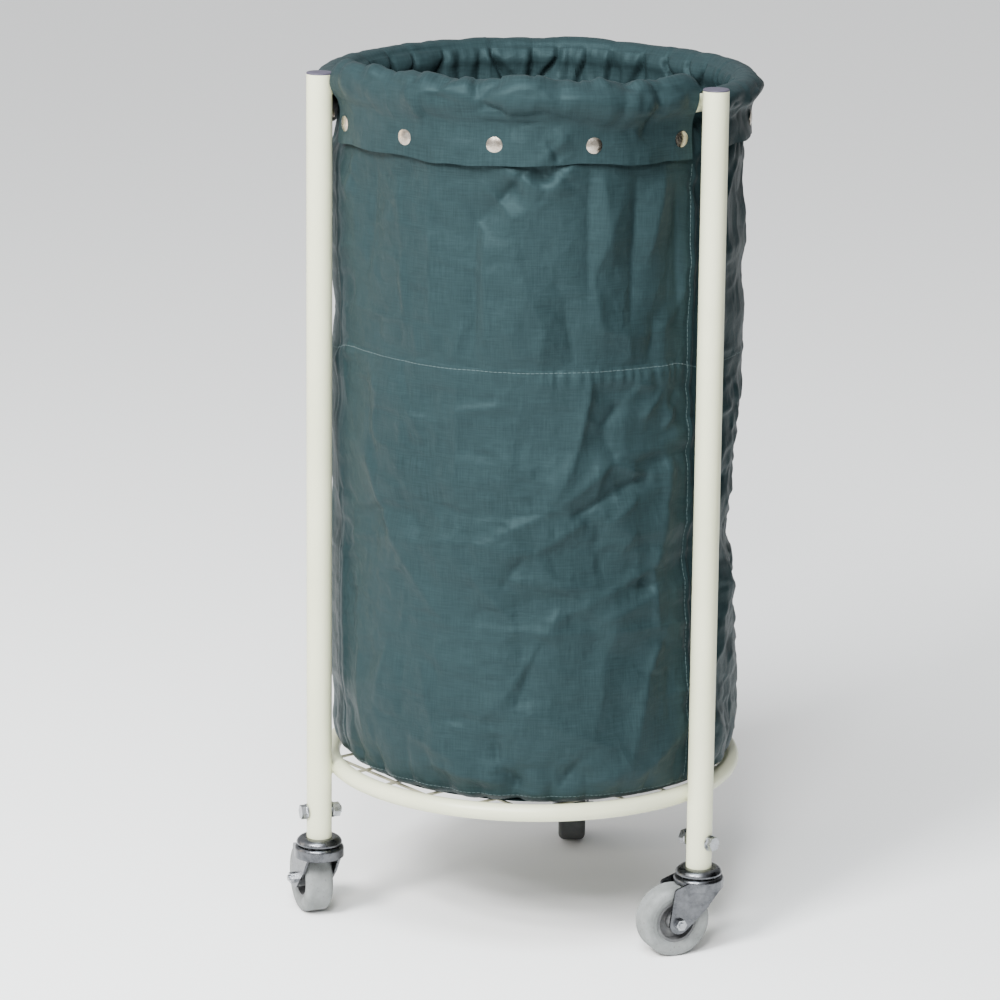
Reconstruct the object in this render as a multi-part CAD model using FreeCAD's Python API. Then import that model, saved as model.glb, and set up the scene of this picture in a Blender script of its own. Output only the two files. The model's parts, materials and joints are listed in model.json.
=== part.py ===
"""Linen trolley: a round three-post frame on swivel castors that carries a hanging fabric bag.

Millimetres, +Z up, floor at z = 0, -Y is the open front with one post at each side of it.
The origin is on the floor, under the centre of the whole trolley's box.
Azimuths are in degrees, counted from +X towards +Y about the hoops' common axis.
"""
import FreeCAD
import Part

import math
import os

from FreeCAD import Vector

# ---- frame ---------------------------------------------------------------------------
AXIS_X = 8.7              # the hoops' common axis, seen from the origin
AXIS_Y = -16.0
POSTS = {"left": 210.0, "right": 330.0, "rear": 90.0}
POST_OD = 25.4            # one-inch tube
POST_WALL = 1.5
POST_BOTTOM = 87.0
POST_TOP = {"left": 862.0, "right": 862.0, "rear": 854.0}
HOOP_R = 203.2            # centre line of both hoops: 16 inches across
HOOP_OD = 17.2
HOOP_WALL = 1.2
TOP_HOOP_Z = 848.0
BASE_HOOP_Z = 158.0
WELD_DEPTH = 0.4          # how far each hoop is coped onto the posts
VENT_D = 4.0              # powder-coating vent in the underside of each hoop
VENT_AZIMUTH = 150.0
POST_R = HOOP_R + HOOP_OD / 2 + POST_OD / 2 - WELD_DEPTH
CAP_FLANGE = 1.6
CAP_DOME = 1.0
CAP_PLUG_LENGTH = 12.0

# ---- base mesh: welded square wire ---------------------------------------------------
WIRE_D = 3.0
MESH_PITCH = 50.0
MESH_AZIMUTH = -40.0      # run of the lower wires; the upper ones cross them squarely
LOWER_WIRE_Z = 158.5
WIRE_RISE = 2.7           # upper wires sink 0.3 into the lower ones where they are welded
LOWER_WIRE_PHASE = 26.0   # nearest wire's distance from the axis
UPPER_WIRE_PHASE = 12.0

# ---- castors -------------------------------------------------------------------------
WHEEL_HEADINGS = {"left": 121.0, "right": 215.0, "rear": 282.0}   # way each wheel trails
WHEEL_D = 71.0
WHEEL_W = 28.0
WHEEL_LEAD = 28.0         # from swivel axis to axle
AXLE_Z = WHEEL_D / 2
TYRE_BORE_R = 21.0
RIM_R = 18.5
RIM_HALF = 11.0
HUB_BOSS_R = 9.5
HUB_WEB_HALF = 3.5
RUNNING_GAP = 0.05        # radial clearance of every turning fit
SLEEVE_R = 5.0
AXLE_R = 3.0
AXLE_HOLE_R = 3.1
LEG_INNER = 15.5
LEG_T = 2.5
LEG_END_R = 10.5
KINGPIN_R = 6.0
CROWN_R = 25.0
CROWN_TOP = 79.0
CROWN_T = 2.5
SKIRT_BOTTOM = 67.0
CUP_R = 23.0
CUP_TOP = POST_BOTTOM
CUP_T = 2.5
CUP_LIP_Z = 80.6
UPPER_BALL_R = 3.0
UPPER_BALL_CIRCLE = 16.0
UPPER_BALLS = 14
LOWER_BALL_R = 2.45
LOWER_BALL_CIRCLE = 9.4
LOWER_BALLS = 10
LOWER_RACE_R = 12.5
LOWER_RACE_BOTTOM = 69.0
LOWER_RACE_TOP = 72.0
KINGPIN_HEAD_R = 7.5
KINGPIN_HEAD_Z = 67.0
GROOVE_GAP = 0.1          # between each ball and its grooves
STEM_R = 11.1
STEM_TOP = 135.0

# ---- bolts that hold each castor stem in its post ---------------------------------------
BOLT_Z = 114.0
BOLT_R = 3.9
BOLT_HOLE_R = 4.1
BOLT_FLATS = 13.0
BOLT_HEAD_T = 5.3
NUT_T = 6.5
WASHER_R = 8.0
WASHER_T = 1.6

# ---- bag ---------------------------------------------------------------------------------
CLOTH_T = 1.6
SEAM_Z = 600.0
UPPER_R = 203.5
MOUTH_R = 192.8           # outside of the cloth where it passes up inside the top hoop
MOUTH_Z = {"front": 868.0, "right": 854.0, "left": 854.0}
BASE_SHIFT = 6.0          # the bag's foot leans to +X of the frame's axis
BAG_BOTTOM_Z = 163.0
BOTTOM_PANEL_R = 183.3
# (height, outer radius) of the lower wall
LOWER_PANEL = [(BAG_BOTTOM_Z, 185.0), (168.0, 192.0), (175.0, 198.0), (190.0, 202.5), (215.0, 204.0),
               (300.0, 202.0), (450.0, 202.5), (SEAM_Z, UPPER_R - 0.5)]
GORE_ANGLE = 120.0        # the wall is sewn from three gores, with a seam behind each post
FLAP_HALF_ANGLE = 56.0
FLAP_R = 208.6            # outside of the flap where it hangs
FLAP_TOP = {"front": 880.5, "right": 863.0, "left": 863.0}     # puffed up at the front only
FLAP_SHOULDER_Z = {"front": 866.0, "right": 852.0, "left": 852.0}
FLAP_BOTTOM = 799.0
SNAP_Z = 817.0
SNAP_STEP = 26.0
SNAPS_PER_BAY = 5
SNAP_CAP_R = 7.75
SNAP_DISC_R = 5.5
BAYS = {"front": 270.0, "right": 30.0, "left": 150.0}

POLE_R = 0.8              # small flat at the top of each dome

UP = Vector(0, 0, 1)
ORIGIN = Vector(0, 0, 0)


def polar(radius, azimuth, z=0.0):
    """The point at a radius, azimuth and height."""
    angle = math.radians(azimuth)
    return Vector(radius * math.cos(angle), radius * math.sin(angle), z)


def profile(start, *moves):
    """A closed face in the XZ plane. A move is a point, or (mid point, end point) for an arc."""
    edges = []
    here = Vector(start[0], 0, start[1])
    for move in moves + (start,):
        if isinstance(move[0], tuple):
            middle, end = (Vector(p[0], 0, p[1]) for p in move)
            edges.append(Part.Arc(here, middle, end).toShape())
        else:
            end = Vector(move[0], 0, move[1])
            if (end - here).Length < 1e-6:
                continue
            edges.append(Part.LineSegment(here, end).toShape())
        here = end
    return Part.Face(Part.Wire(edges))


def turned(face, start=0.0, sweep=360.0):
    """A face of the XZ plane turned about Z."""
    solid = face.revolve(ORIGIN, UP, sweep)
    solid.rotate(ORIGIN, UP, start)
    return solid


def ring(radius, tube_radius, z):
    """A solid torus about Z."""
    return Part.makeTorus(radius, tube_radius, Vector(0, 0, z))


def hexagon(flats, height, base, axis):
    """A hexagonal prism standing on a point, along an axis."""
    corner = flats / math.sqrt(3)
    points = [polar(corner, 60 * k) for k in range(7)]
    prism = Part.Face(Part.makePolygon(points)).extrude(Vector(0, 0, height))
    prism.Placement = FreeCAD.Placement(base, FreeCAD.Rotation(UP, axis))
    return prism


def at_post(shape, azimuth):
    """Moves a piece from the axis out to a post."""
    moved = shape.copy()
    moved.translate(polar(POST_R, azimuth))
    return moved


def at_castor(shape, side):
    """Moves a castor piece, drawn with its wheel trailing to +X, to its post and heading."""
    moved = shape.copy()
    moved.rotate(ORIGIN, UP, WHEEL_HEADINGS[side])
    return at_post(moved, POSTS[side])


# ---- frame ---------------------------------------------------------------------------
def post(side):
    """A straight tube with the castor bolt's cross hole."""
    azimuth = POSTS[side]
    height = POST_TOP[side] - POST_BOTTOM
    foot = polar(POST_R, azimuth, POST_BOTTOM)
    tube = Part.makeCylinder(POST_OD / 2, height, foot)
    tube = tube.cut(Part.makeCylinder(POST_OD / 2 - POST_WALL, height, foot))
    hole_start = polar(POST_R - POST_OD, azimuth, BOLT_Z)
    return tube.cut(Part.makeCylinder(BOLT_HOLE_R, 2 * POST_OD, hole_start, polar(1, azimuth)))


def post_cap(side):
    """A plastic insert: a plug in the tube's bore under a slightly domed flange."""
    rim = POST_OD / 2
    plug = POST_OD / 2 - POST_WALL - GROOVE_GAP
    seat = POST_TOP[side]
    flange_top = seat + CAP_FLANGE
    face = profile((0, seat - CAP_PLUG_LENGTH), (plug - 1, seat - CAP_PLUG_LENGTH),
                   (plug, seat - CAP_PLUG_LENGTH + 2), (plug, seat), (rim, seat),
                   (rim, flange_top - 0.6), (rim - 0.6, flange_top),
                   ((rim * 0.55, flange_top + CAP_DOME * 0.7), (POLE_R, flange_top + CAP_DOME)),
                   (0, flange_top + CAP_DOME))
    return at_post(turned(face), POSTS[side])


def hoop(z):
    """A bent tube, welded into a ring inside the posts, with a vent hole underneath."""
    body = ring(HOOP_R, HOOP_OD / 2, z).cut(ring(HOOP_R, HOOP_OD / 2 - HOOP_WALL, z))
    body = body.cut(Part.makeCylinder(VENT_D / 2, HOOP_OD, polar(HOOP_R, VENT_AZIMUTH, z - HOOP_OD)))
    for azimuth in POSTS.values():
        cope = Part.makeCylinder(POST_OD / 2, 2 * HOOP_OD, polar(POST_R, azimuth, z - HOOP_OD))
        body = body.cut(cope)
    return body


def mesh_wires(azimuth, phase, z):
    """One layer of parallel wires, each reaching the middle of the base hoop's tube."""
    wires = []
    normal = azimuth + 90
    count = int(HOOP_R // MESH_PITCH) + 1
    for step in range(-count, count + 1):
        offset = phase + step * MESH_PITCH
        if abs(offset) > HOOP_R - HOOP_OD / 2 - WIRE_D:
            continue
        half = math.sqrt(HOOP_R ** 2 - offset ** 2)
        start = polar(offset, normal, z) - polar(half, azimuth)
        wires.append(Part.makeCylinder(WIRE_D / 2, 2 * half, start, polar(1, azimuth)))
    return wires


def base_mesh():
    """Two crossed layers of wire, welded to each other and trimmed to the base hoop."""
    wires = mesh_wires(MESH_AZIMUTH, -LOWER_WIRE_PHASE, LOWER_WIRE_Z)
    wires += mesh_wires(MESH_AZIMUTH + 90, -UPPER_WIRE_PHASE, LOWER_WIRE_Z + WIRE_RISE)
    grid = wires[0].multiFuse(wires[1:])
    return grid.cut(ring(HOOP_R, HOOP_OD / 2, BASE_HOOP_Z))


# ---- castors, drawn at the axis with the wheel trailing to +X --------------------------------
def castor_stem(azimuth):
    """The plug in the post, the kingpin under it and the kingpin's riveted head."""
    neck = CUP_TOP
    face = profile((0, KINGPIN_HEAD_Z + 0.8), (KINGPIN_HEAD_R - 1.5, KINGPIN_HEAD_Z),
                   (KINGPIN_HEAD_R, KINGPIN_HEAD_Z + 1), (KINGPIN_HEAD_R, LOWER_RACE_BOTTOM),
                   (KINGPIN_R, LOWER_RACE_BOTTOM), (KINGPIN_R, neck), (STEM_R, neck),
                   (STEM_R, STEM_TOP - 2), (STEM_R - 2, STEM_TOP), (0, STEM_TOP))
    hole_start = polar(-2 * STEM_R, azimuth, BOLT_Z)
    hole = Part.makeCylinder(BOLT_HOLE_R, 4 * STEM_R, hole_start, polar(1, azimuth))
    return at_post(turned(face).cut(hole), azimuth)


def castor_cup():
    """The fixed upper cup: a pressed disc whose lip hides the upper balls."""
    flat = CUP_TOP - CUP_T
    lip = CUP_R - CUP_T
    face = profile((KINGPIN_R, CUP_TOP), (CUP_R - 6, CUP_TOP),
                   ((CUP_R - 1.8, CUP_TOP - 1.9), (CUP_R, CUP_TOP - 5)),
                   (CUP_R, CUP_LIP_Z), (lip, CUP_LIP_Z), (lip, flat - 1.5),
                   (lip - 1.5, flat), (KINGPIN_R, flat))
    ball_z = (flat + CROWN_TOP) / 2
    return turned(face).cut(ring(UPPER_BALL_CIRCLE, UPPER_BALL_R + GROOVE_GAP, ball_z))


def balls(count, circle, radius, z):
    """A full ring of bearing balls."""
    return [Part.makeSphere(radius, polar(circle, 360 * k / count, z)) for k in range(count)]


def lower_race():
    """The hardened washer that the lower balls run on, held up by the kingpin's head."""
    face = profile((KINGPIN_R, LOWER_RACE_BOTTOM), (LOWER_RACE_R - 1, LOWER_RACE_BOTTOM),
                   (LOWER_RACE_R, LOWER_RACE_BOTTOM + 1), (LOWER_RACE_R, LOWER_RACE_TOP),
                   (KINGPIN_R, LOWER_RACE_TOP))
    ball_z = (LOWER_RACE_TOP + CROWN_TOP - CROWN_T) / 2
    return turned(face).cut(ring(LOWER_BALL_CIRCLE, LOWER_BALL_R + GROOVE_GAP, ball_z))


def fork_leg():
    """One side plate, in the XZ plane: wide at the crown, sweeping back to the axle."""
    lead = WHEEL_LEAD
    top = CROWN_TOP - CROWN_T
    r = LEG_END_R
    front = (lead + r * math.cos(math.radians(12)), AXLE_Z + r * math.sin(math.radians(12)))
    back = (lead - r * math.cos(math.radians(48)), AXLE_Z - r * math.sin(math.radians(48)))
    outer = profile((-17, top), (-17, SKIRT_BOTTOM), ((-9, 57.5), (-3, 49.5)), back,
                    ((lead + r * math.cos(math.radians(-70)), AXLE_Z + r * math.sin(math.radians(-70))),
                     front),
                    (lead + 5.5, 68), ((lead + 4.2, 70.8), (lead + 1.2, 72.2)), (17, top))
    return outer.extrude(Vector(0, LEG_T, 0))


def fork():
    """The pressed fork: a domed crown with a short skirt, and two legs down to the axle."""
    inner = CROWN_R - CROWN_T
    under = CROWN_TOP - CROWN_T
    bore = KINGPIN_R + RUNNING_GAP
    crown = turned(profile((bore, CROWN_TOP), (CROWN_R - 4, CROWN_TOP),
                           ((CROWN_R - 1.2, CROWN_TOP - 1.2), (CROWN_R, CROWN_TOP - 4)),
                           (CROWN_R, SKIRT_BOTTOM), (inner, SKIRT_BOTTOM), (inner, under - 1.5),
                           (inner - 1.5, under), (bore, under)))
    body = crown
    for start in (LEG_INNER, -LEG_INNER - LEG_T):
        leg = fork_leg()
        leg.translate(Vector(0, start, 0))
        body = body.fuse(leg)
    wheel_room = Part.makeCylinder(WHEEL_D / 2 + 1.5, 2 * LEG_INNER,
                                   Vector(WHEEL_LEAD, -LEG_INNER, AXLE_Z), Vector(0, 1, 0))
    body = body.cut(wheel_room)
    axle_hole = Part.makeCylinder(AXLE_HOLE_R, 4 * LEG_INNER,
                                  Vector(WHEEL_LEAD, -2 * LEG_INNER, AXLE_Z), Vector(0, 1, 0))
    body = body.cut(axle_hole)
    upper_z = (CUP_TOP - CUP_T + CROWN_TOP) / 2
    lower_z = (LOWER_RACE_TOP + under) / 2
    body = body.cut(ring(UPPER_BALL_CIRCLE, UPPER_BALL_R + GROOVE_GAP, upper_z))
    return body.cut(ring(LOWER_BALL_CIRCLE, LOWER_BALL_R + GROOVE_GAP, lower_z)).removeSplitter()


def on_axle(face):
    """A profile turned about Z, laid along the wheel's axle."""
    solid = turned(face)
    solid.rotate(ORIGIN, Vector(1, 0, 0), 90)
    solid.translate(Vector(WHEEL_LEAD, 0, AXLE_Z))
    return solid


def tyre():
    """The rubber tread: round shoulders and slightly dished sides."""
    half = WHEEL_W / 2
    r = WHEEL_D / 2
    shoulder = 6.0
    corner = shoulder * (1 - math.sqrt(0.5))
    return on_axle(profile((TYRE_BORE_R, -RIM_HALF), (TYRE_BORE_R + 2, -half + 1.2),
                           (TYRE_BORE_R + 6, -half), (r - shoulder, -half),
                           ((r - corner, -half + corner), (r, -half + shoulder)),
                           (r, half - shoulder),
                           ((r - corner, half - corner), (r - shoulder, half)),
                           (TYRE_BORE_R + 6, half), (TYRE_BORE_R + 2, half - 1.2),
                           (TYRE_BORE_R, RIM_HALF)))


def hub():
    """The moulded wheel centre: boss on the sleeve, thin web, and the rim under the tyre."""
    bore = SLEEVE_R + RUNNING_GAP
    boss_half = LEG_INNER - 0.9
    return on_axle(profile((bore, -boss_half), (HUB_BOSS_R - 1, -boss_half),
                           (HUB_BOSS_R, -boss_half + 1), (HUB_BOSS_R, -HUB_WEB_HALF),
                           (RIM_R, -HUB_WEB_HALF), (RIM_R, -RIM_HALF), (TYRE_BORE_R, -RIM_HALF),
                           (TYRE_BORE_R, RIM_HALF), (RIM_R, RIM_HALF), (RIM_R, HUB_WEB_HALF),
                           (HUB_BOSS_R, HUB_WEB_HALF), (HUB_BOSS_R, boss_half - 1),
                           (HUB_BOSS_R - 1, boss_half), (bore, boss_half)))


def axle_sleeve():
    """The spacer tube clamped between the legs, which the wheel turns on."""
    return on_axle(profile((AXLE_HOLE_R, -LEG_INNER), (SLEEVE_R, -LEG_INNER),
                           (SLEEVE_R, LEG_INNER), (AXLE_HOLE_R, LEG_INNER)))


def axle_bolt():
    """A round-headed bolt through both legs and the sleeve."""
    out = LEG_INNER + LEG_T
    return on_axle(profile((0, -out - 7), (AXLE_R, -out - 7), (AXLE_R, out), (4.9, out),
                           ((4.1, out + 2.2), (POLE_R, out + 3.2)), (0, out + 3.2)))


def axle_nut():
    """The nut on the axle bolt's far end."""
    out = LEG_INNER + LEG_T
    base = Vector(WHEEL_LEAD, out, AXLE_Z)
    nut = hexagon(10.0, 5.0, base, Vector(0, 1, 0))
    return nut.cut(Part.makeCylinder(AXLE_R, 5.0, base, Vector(0, 1, 0)))


# ---- castor bolts ------------------------------------------------------------------------
def stem_bolts():
    """The three cross bolts, heads outwards."""
    pieces = []
    seat = POST_OD / 2 + WASHER_T
    for azimuth in POSTS.values():
        outward = polar(1, azimuth)
        shank = Part.makeCylinder(BOLT_R, 2 * seat + NUT_T + 2, polar(-seat - NUT_T - 2, azimuth, BOLT_Z),
                                  outward)
        head = hexagon(BOLT_FLATS, BOLT_HEAD_T, polar(seat, azimuth, BOLT_Z), outward)
        pieces.append(at_post(shank.fuse(head), azimuth))
    return pieces


def stem_washers():
    """A flat washer under each bolt head and each nut."""
    pieces = []
    for azimuth in POSTS.values():
        for start in (POST_OD / 2, -POST_OD / 2 - WASHER_T):
            base = polar(start, azimuth, BOLT_Z)
            disc = Part.makeCylinder(WASHER_R, WASHER_T, base, polar(1, azimuth))
            bore = Part.makeCylinder(BOLT_HOLE_R, WASHER_T, base, polar(1, azimuth))
            pieces.append(at_post(disc.cut(bore), azimuth))
    return pieces


def stem_nuts():
    """The nut on each bolt's inner end."""
    pieces = []
    seat = POST_OD / 2 + WASHER_T
    for azimuth in POSTS.values():
        base = polar(-seat - NUT_T, azimuth, BOLT_Z)
        nut = hexagon(BOLT_FLATS, NUT_T, base, polar(1, azimuth))
        nut = nut.cut(Part.makeCylinder(BOLT_R, NUT_T, base, polar(1, azimuth)))
        pieces.append(at_post(nut, azimuth))
    return pieces


# ---- bag -----------------------------------------------------------------------------------
def gore(outside, azimuth):
    """One bay's third of a wall of cloth, sewn to the next along each post."""
    inside = [(r - CLOTH_T, z) for r, z in reversed(outside)]
    return turned(profile(outside[0], *(outside[1:] + inside)), azimuth - GORE_ANGLE / 2, GORE_ANGLE)


def bag_upper(bay):
    """The wall above the seam, drawn in at the top to pass up inside the top hoop."""
    return gore([(UPPER_R - 0.5, SEAM_Z), (UPPER_R, 700), (UPPER_R, SNAP_Z), (200, 828),
                 (MOUTH_R + 0.6, 838), (MOUTH_R, MOUTH_Z[bay])], BAYS[bay])


def bag_lower(azimuth):
    """The sagging wall below the seam, leaning a little to +X and tucked in at the foot."""
    lean = FreeCAD.Matrix()
    lean.A13 = -BASE_SHIFT / (SEAM_Z - BAG_BOTTOM_Z)
    lean.A14 = -lean.A13 * SEAM_Z
    return gore([(radius, z) for z, radius in LOWER_PANEL], azimuth).transformGeometry(lean)


def bag_bottom_panel():
    """The round bottom, lying on the wire mesh."""
    return Part.makeCylinder(BOTTOM_PANEL_R, CLOTH_T, Vector(BASE_SHIFT, 0, BAG_BOTTOM_Z))


def bag_flap(bay):
    """The cuff of one bay: up from the mouth, over the hoop and down outside to the snaps."""
    t = CLOTH_T
    mouth = MOUTH_Z[bay]
    top = FLAP_TOP[bay]
    shoulder = (FLAP_R + 8.4, FLAP_SHOULDER_Z[bay])
    face = profile((MOUTH_R - t, mouth), ((204.3, top), shoulder), (214.5, 842),
                   (FLAP_R, 829), (FLAP_R, 806), (FLAP_R + 1, FLAP_BOTTOM),
                   (FLAP_R + 1 - t, FLAP_BOTTOM), (FLAP_R - t, 806), (FLAP_R - t, 829),
                   (214.5 - t, 842), (shoulder[0] - t, shoulder[1]),
                   ((204.3, top - t), (MOUTH_R, mouth)))
    return turned(face, BAYS[bay] - FLAP_HALF_ANGLE, 2 * FLAP_HALF_ANGLE)


def snap_places():
    """The azimuth of every press stud."""
    half = (SNAPS_PER_BAY - 1) / 2
    for middle in BAYS.values():
        for k in range(SNAPS_PER_BAY):
            yield middle + (k - half) * SNAP_STEP


def radial_piece(face, radius, azimuth):
    """A profile turned about Z, laid along a radius with its z = 0 at the given radius."""
    solid = turned(face)
    solid.Placement = FreeCAD.Placement(polar(radius, azimuth, SNAP_Z),
                                        FreeCAD.Rotation(UP, polar(1, azimuth)))
    return solid


def snap_caps():
    """The domed buttons on the outside of the flaps."""
    face = profile((0, 0), (SNAP_CAP_R, 0), (SNAP_CAP_R, 0.5), ((SNAP_CAP_R * 0.6, 1.4), (POLE_R, 1.8)),
                   (0, 1.8))
    return [radial_piece(face, FLAP_R, azimuth) for azimuth in snap_places()]


def snap_sockets():
    """The rings riveted to the inside of the flaps."""
    face = profile((3.0, 0), (SNAP_DISC_R, 0), (SNAP_DISC_R, 1.4), (3.0, 1.4))
    start = FLAP_R - CLOTH_T - 1.6
    return [radial_piece(face, start, azimuth) for azimuth in snap_places()]


def snap_studs():
    """The studs riveted to the bag's wall, which the sockets close on."""
    face = profile((0, 0), (SNAP_DISC_R, 0), (SNAP_DISC_R, 0.8), (2.8, 0.8), (2.8, 2.4), (0, 2.8))
    return [radial_piece(face, UPPER_R, azimuth) for azimuth in snap_places()]


def save(name, pieces):
    """Writes one node: a solid, or a group of separate identical solids."""
    if not isinstance(pieces, list):
        pieces = [pieces]
    solids = []
    for piece in pieces:
        placed = piece.copy()
        placed.translate(Vector(AXIS_X, AXIS_Y, 0))
        solids += placed.Solids
    shape = solids[0] if len(solids) == 1 else Part.makeCompound(solids)
    shape.exportStep(os.path.join("parts", name + ".step"))
    box = shape.BoundBox
    print(f"{name}: {len(solids)} solid(s), valid {shape.isValid()}, {shape.Volume:.0f} mm3,"
          f" x {box.XMin:.1f}..{box.XMax:.1f} y {box.YMin:.1f}..{box.YMax:.1f}"
          f" z {box.ZMin:.1f}..{box.ZMax:.1f}")
    return box


def main():
    os.makedirs("parts", exist_ok=True)
    nodes = {"top_hoop": hoop(TOP_HOOP_Z), "base_hoop": hoop(BASE_HOOP_Z), "base_mesh": base_mesh()}
    upper_z = (CUP_TOP - CUP_T + CROWN_TOP) / 2
    lower_z = (LOWER_RACE_TOP + CROWN_TOP - CROWN_T) / 2
    castor = {"castor_cup": [castor_cup()], "lower_race": [lower_race()], "fork": [fork()],
              "upper_balls": balls(UPPER_BALLS, UPPER_BALL_CIRCLE, UPPER_BALL_R, upper_z),
              "lower_balls": balls(LOWER_BALLS, LOWER_BALL_CIRCLE, LOWER_BALL_R, lower_z),
              "axle_sleeve": [axle_sleeve()], "axle_bolt": [axle_bolt()], "axle_nut": [axle_nut()],
              "wheel_hub": [hub()], "tyre": [tyre()]}
    for side, azimuth in POSTS.items():
        nodes[side + "_post"] = post(side)
        nodes[side + "_post_cap"] = post_cap(side)
        nodes[side + "_castor_stem"] = castor_stem(azimuth)
        for name, pieces in castor.items():
            nodes[side + "_" + name] = [at_castor(piece, side) for piece in pieces]
    nodes["stem_bolts"] = stem_bolts()
    nodes["stem_washers"] = stem_washers()
    nodes["stem_nuts"] = stem_nuts()
    nodes["bag_bottom_panel"] = bag_bottom_panel()
    for bay, azimuth in BAYS.items():
        nodes["bag_upper_" + bay] = bag_upper(bay)
        nodes["bag_lower_" + bay] = bag_lower(azimuth)
        nodes["bag_flap_" + bay] = bag_flap(bay)
    nodes["snap_caps"] = snap_caps()
    nodes["snap_sockets"] = snap_sockets()
    nodes["snap_studs"] = snap_studs()
    whole = FreeCAD.BoundBox()
    for name, pieces in nodes.items():
        whole.add(save(name, pieces))
    print(f"{len(nodes)} nodes, x {whole.XMin:.1f}..{whole.XMax:.1f},"
          f" y {whole.YMin:.1f}..{whole.YMax:.1f}, z {whole.ZMin:.1f}..{whole.ZMax:.1f}")


main()
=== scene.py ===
"""Looks of the linen trolley: the cloth bag, stitching, weld fillets and every material.

Metres, in the frame's own axes: +Z up, -Y is the open front. Azimuths are in degrees about the
hoops' common axis, counted from +X towards +Y.
"""
import json
import math

import bpy
import numpy as np
from mathutils import Matrix, Vector


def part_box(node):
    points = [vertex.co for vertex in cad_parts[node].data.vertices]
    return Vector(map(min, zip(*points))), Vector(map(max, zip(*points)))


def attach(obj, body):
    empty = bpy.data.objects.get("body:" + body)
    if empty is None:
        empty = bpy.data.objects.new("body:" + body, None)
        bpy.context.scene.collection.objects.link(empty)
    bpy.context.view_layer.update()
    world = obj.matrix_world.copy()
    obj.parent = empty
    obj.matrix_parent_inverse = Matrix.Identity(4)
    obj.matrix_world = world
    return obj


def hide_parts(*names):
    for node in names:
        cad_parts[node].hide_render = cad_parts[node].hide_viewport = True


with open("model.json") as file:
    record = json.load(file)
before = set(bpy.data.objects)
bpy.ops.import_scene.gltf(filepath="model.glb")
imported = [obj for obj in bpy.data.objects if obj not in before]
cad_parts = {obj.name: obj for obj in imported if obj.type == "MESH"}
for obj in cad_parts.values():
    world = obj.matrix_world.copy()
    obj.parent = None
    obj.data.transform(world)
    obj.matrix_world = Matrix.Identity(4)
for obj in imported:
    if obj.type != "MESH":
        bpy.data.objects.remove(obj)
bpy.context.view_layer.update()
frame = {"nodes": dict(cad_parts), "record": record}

MM = 0.001

# ---- sizes read from the frame ---------------------------------------------------------
HOOP_LOW, HOOP_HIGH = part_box("top_hoop")
AXIS = Vector(((HOOP_LOW.x + HOOP_HIGH.x) / 2, 0, 0))
HOOP_TUBE_R = (HOOP_HIGH.z - HOOP_LOW.z) / 2
HOOP_R = (HOOP_HIGH.x - HOOP_LOW.x) / 2 - HOOP_TUBE_R
AXIS.y = HOOP_LOW.y + HOOP_R + HOOP_TUBE_R
TOP_HOOP_Z = (HOOP_LOW.z + HOOP_HIGH.z) / 2
BASE_LOW, BASE_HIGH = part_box("base_hoop")
BASE_HOOP_Z = (BASE_LOW.z + BASE_HIGH.z) / 2
SEAM_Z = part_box("bag_upper_front")[0].z
BAG_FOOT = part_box("bag_lower_front")[0].z
SNAP_LOW, SNAP_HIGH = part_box("snap_caps")
SNAP_Z = (SNAP_LOW.z + SNAP_HIGH.z) / 2
POST_AZIMUTHS = {"rear": 90.0, "left": 210.0, "right": 330.0}
BAYS = {"left": 150.0, "front": 270.0, "right": 30.0}
SNAP_STEP = 26.0          # from one press stud to the next
SNAPS_PER_BAY = 5
CUFF_HALF = 56.0          # half the angle that a cuff covers
FRONT_HALF = 62.0         # half the angle that only the placed creases shape
POST_LOW, POST_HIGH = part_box("left_post")
POST_TUBE_R = (POST_HIGH.x - POST_LOW.x) / 2
POST_R = math.hypot((POST_LOW.x + POST_HIGH.x) / 2 - AXIS.x, (POST_LOW.y + POST_HIGH.y) / 2 - AXIS.y)
LEAN = 6 * MM             # how far the bag's foot leans to +X


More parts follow.
